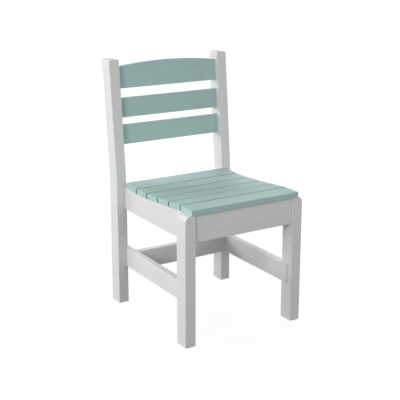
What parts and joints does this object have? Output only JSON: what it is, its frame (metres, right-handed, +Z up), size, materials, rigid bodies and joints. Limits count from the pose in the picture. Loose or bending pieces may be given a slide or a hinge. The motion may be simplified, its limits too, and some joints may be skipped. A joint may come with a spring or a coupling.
{
  "type": "side chair",
  "caption": "Armless dining side chair of solid boards: slatted scooped seat, bent back posts that lean back, horizontal back slats with an arched top one, side and rear stretchers.",
  "frame": {"origin": "on the floor, under the middle of the chair's outer box", "axes": "+Z up, the chair faces -Y, +X to the right as seen from the front"},
  "size_m": [0.471, 0.5412, 0.864],
  "materials": {
    "white_board": "satin",
    "sage_board": "satin",
    "pin_steel": "plain"
  },
  "bodies": {
    "root": {"apron_pin_left_lower": "pin_steel", "apron_pin_left_upper": "pin_steel", "apron_pin_right_lower": "pin_steel", "apron_pin_right_upper": "pin_steel", "back_post_left": "white_board", "back_post_right": "white_board", "back_slat_lower": "sage_board", "back_slat_middle": "sage_board", "back_slat_top": "sage_board", "front_apron": "white_board", "front_leg_left": "white_board", "front_leg_right": "white_board", "rail_pin_left_front": "pin_steel", "rail_pin_left_rear": "pin_steel", "rail_pin_right_front": "pin_steel", "rail_pin_right_rear": "pin_steel", "rear_rail_pin_left_lower": "pin_steel", "rear_rail_pin_left_upper": "pin_steel", "rear_rail_pin_right_lower": "pin_steel", "rear_rail_pin_right_upper": "pin_steel", "rear_seat_rail": "white_board", "rear_stretcher": "white_board", "rear_stretcher_pin_left_lower": "pin_steel", "rear_stretcher_pin_left_upper": "pin_steel", "rear_stretcher_pin_right_lower": "pin_steel", "rear_stretcher_pin_right_upper": "pin_steel", "seat_rail_left": "white_board", "seat_rail_right": "white_board", "seat_slat_1": "sage_board", "seat_slat_2": "sage_board", "seat_slat_3": "sage_board", "seat_slat_4": "sage_board", "seat_slat_5": "sage_board", "seat_slat_6": "sage_board", "side_stretcher_left": "white_board", "side_stretcher_right": "white_board", "slat_pin_left_1": "pin_steel", "slat_pin_left_2": "pin_steel", "slat_pin_left_3": "pin_steel", "slat_pin_left_4": "pin_steel", "slat_pin_left_5": "pin_steel", "slat_pin_left_6": "pin_steel", "slat_pin_right_1": "pin_steel", "slat_pin_right_2": "pin_steel", "slat_pin_right_3": "pin_steel", "slat_pin_right_4": "pin_steel", "slat_pin_right_5": "pin_steel", "slat_pin_right_6": "pin_steel", "stretcher_pin_left_front": "pin_steel", "stretcher_pin_left_rear": "pin_steel", "stretcher_pin_right_front": "pin_steel", "stretcher_pin_right_rear": "pin_steel"}
  },
  "joints": []
}
